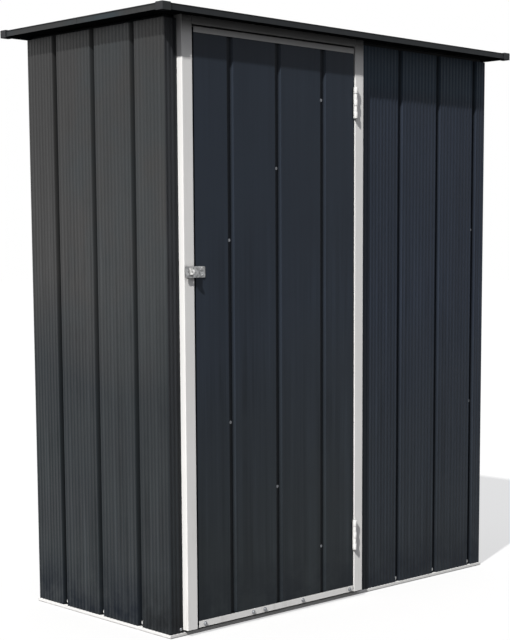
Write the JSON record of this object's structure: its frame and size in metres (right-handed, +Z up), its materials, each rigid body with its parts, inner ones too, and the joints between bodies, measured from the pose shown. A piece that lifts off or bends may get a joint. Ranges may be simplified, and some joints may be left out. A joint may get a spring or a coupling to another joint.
{
  "type": "metal storage shed",
  "caption": "Small flat-roofed garden storage shed of ribbed dark steel sheet on a pale rail frame, with a braced hinged door between white posts and a hasp latch.",
  "frame": {"origin": "on the ground, at the middle of the plan of the roof and walls", "axes": "+Z up, -Y out of the front wall with the door, +X to the right seen from the front"},
  "size_m": [1.533, 0.796, 1.8],
  "materials": {
    "anthracite_paint": "semi-gloss",
    "white_paint": "satin",
    "galvanised_steel": "galvanised",
    "dark_plastic": "matt"
  },
  "bodies": {
    "shed": {"base_rail_back": "white_paint", "base_rail_front": "white_paint", "base_rail_left": "white_paint", "base_rail_right": "white_paint", "corner_panel_back_left": "anthracite_paint", "corner_panel_back_right": "anthracite_paint", "corner_panel_front_left": "anthracite_paint", "corner_panel_front_right": "anthracite_paint", "door_header": "white_paint", "door_post_left": "white_paint", "door_post_right": "white_paint", "hinge_leaf_post_lower": "white_paint", "hinge_leaf_post_upper": "white_paint", "latch_staple": "galvanised_steel", "roof_cap_back_left": "dark_plastic", "roof_cap_back_right": "dark_plastic", "roof_cap_front_left": "dark_plastic", "roof_cap_front_right": "dark_plastic", "roof_panel_1": "anthracite_paint", "roof_panel_2": "anthracite_paint", "roof_panel_3": "anthracite_paint", "roof_panel_4": "anthracite_paint", "roof_trim_back": "anthracite_paint", "roof_trim_front": "anthracite_paint", "roof_trim_left": "anthracite_paint", "roof_trim_right": "anthracite_paint", "top_rail_back": "anthracite_paint", "top_rail_front": "anthracite_paint", "top_rail_left": "anthracite_paint", "top_rail_right": "anthracite_paint", "wall_panel_back_1": "anthracite_paint", "wall_panel_back_2": "anthracite_paint", "wall_panel_back_3": "anthracite_paint", "wall_panel_front": "anthracite_paint", "wall_panel_left": "anthracite_paint", "wall_panel_right": "anthracite_paint"},
    "door": {"door_brace_lower": "galvanised_steel", "door_brace_upper": "galvanised_steel", "door_panel": "anthracite_paint", "door_rail_bottom": "white_paint", "door_rail_top": "white_paint", "hinge_leaf_door_lower": "white_paint", "hinge_leaf_door_upper": "white_paint", "latch_hasp": "galvanised_steel"}
  },
  "joints": [
    {"name": "door_hinge", "type": "hinge", "parent": "shed", "child": "door", "pos_m": [0.03425, -0.3615, 0.9], "axis": [0, 0, 1], "range_deg": [0, 165]}
  ]
}
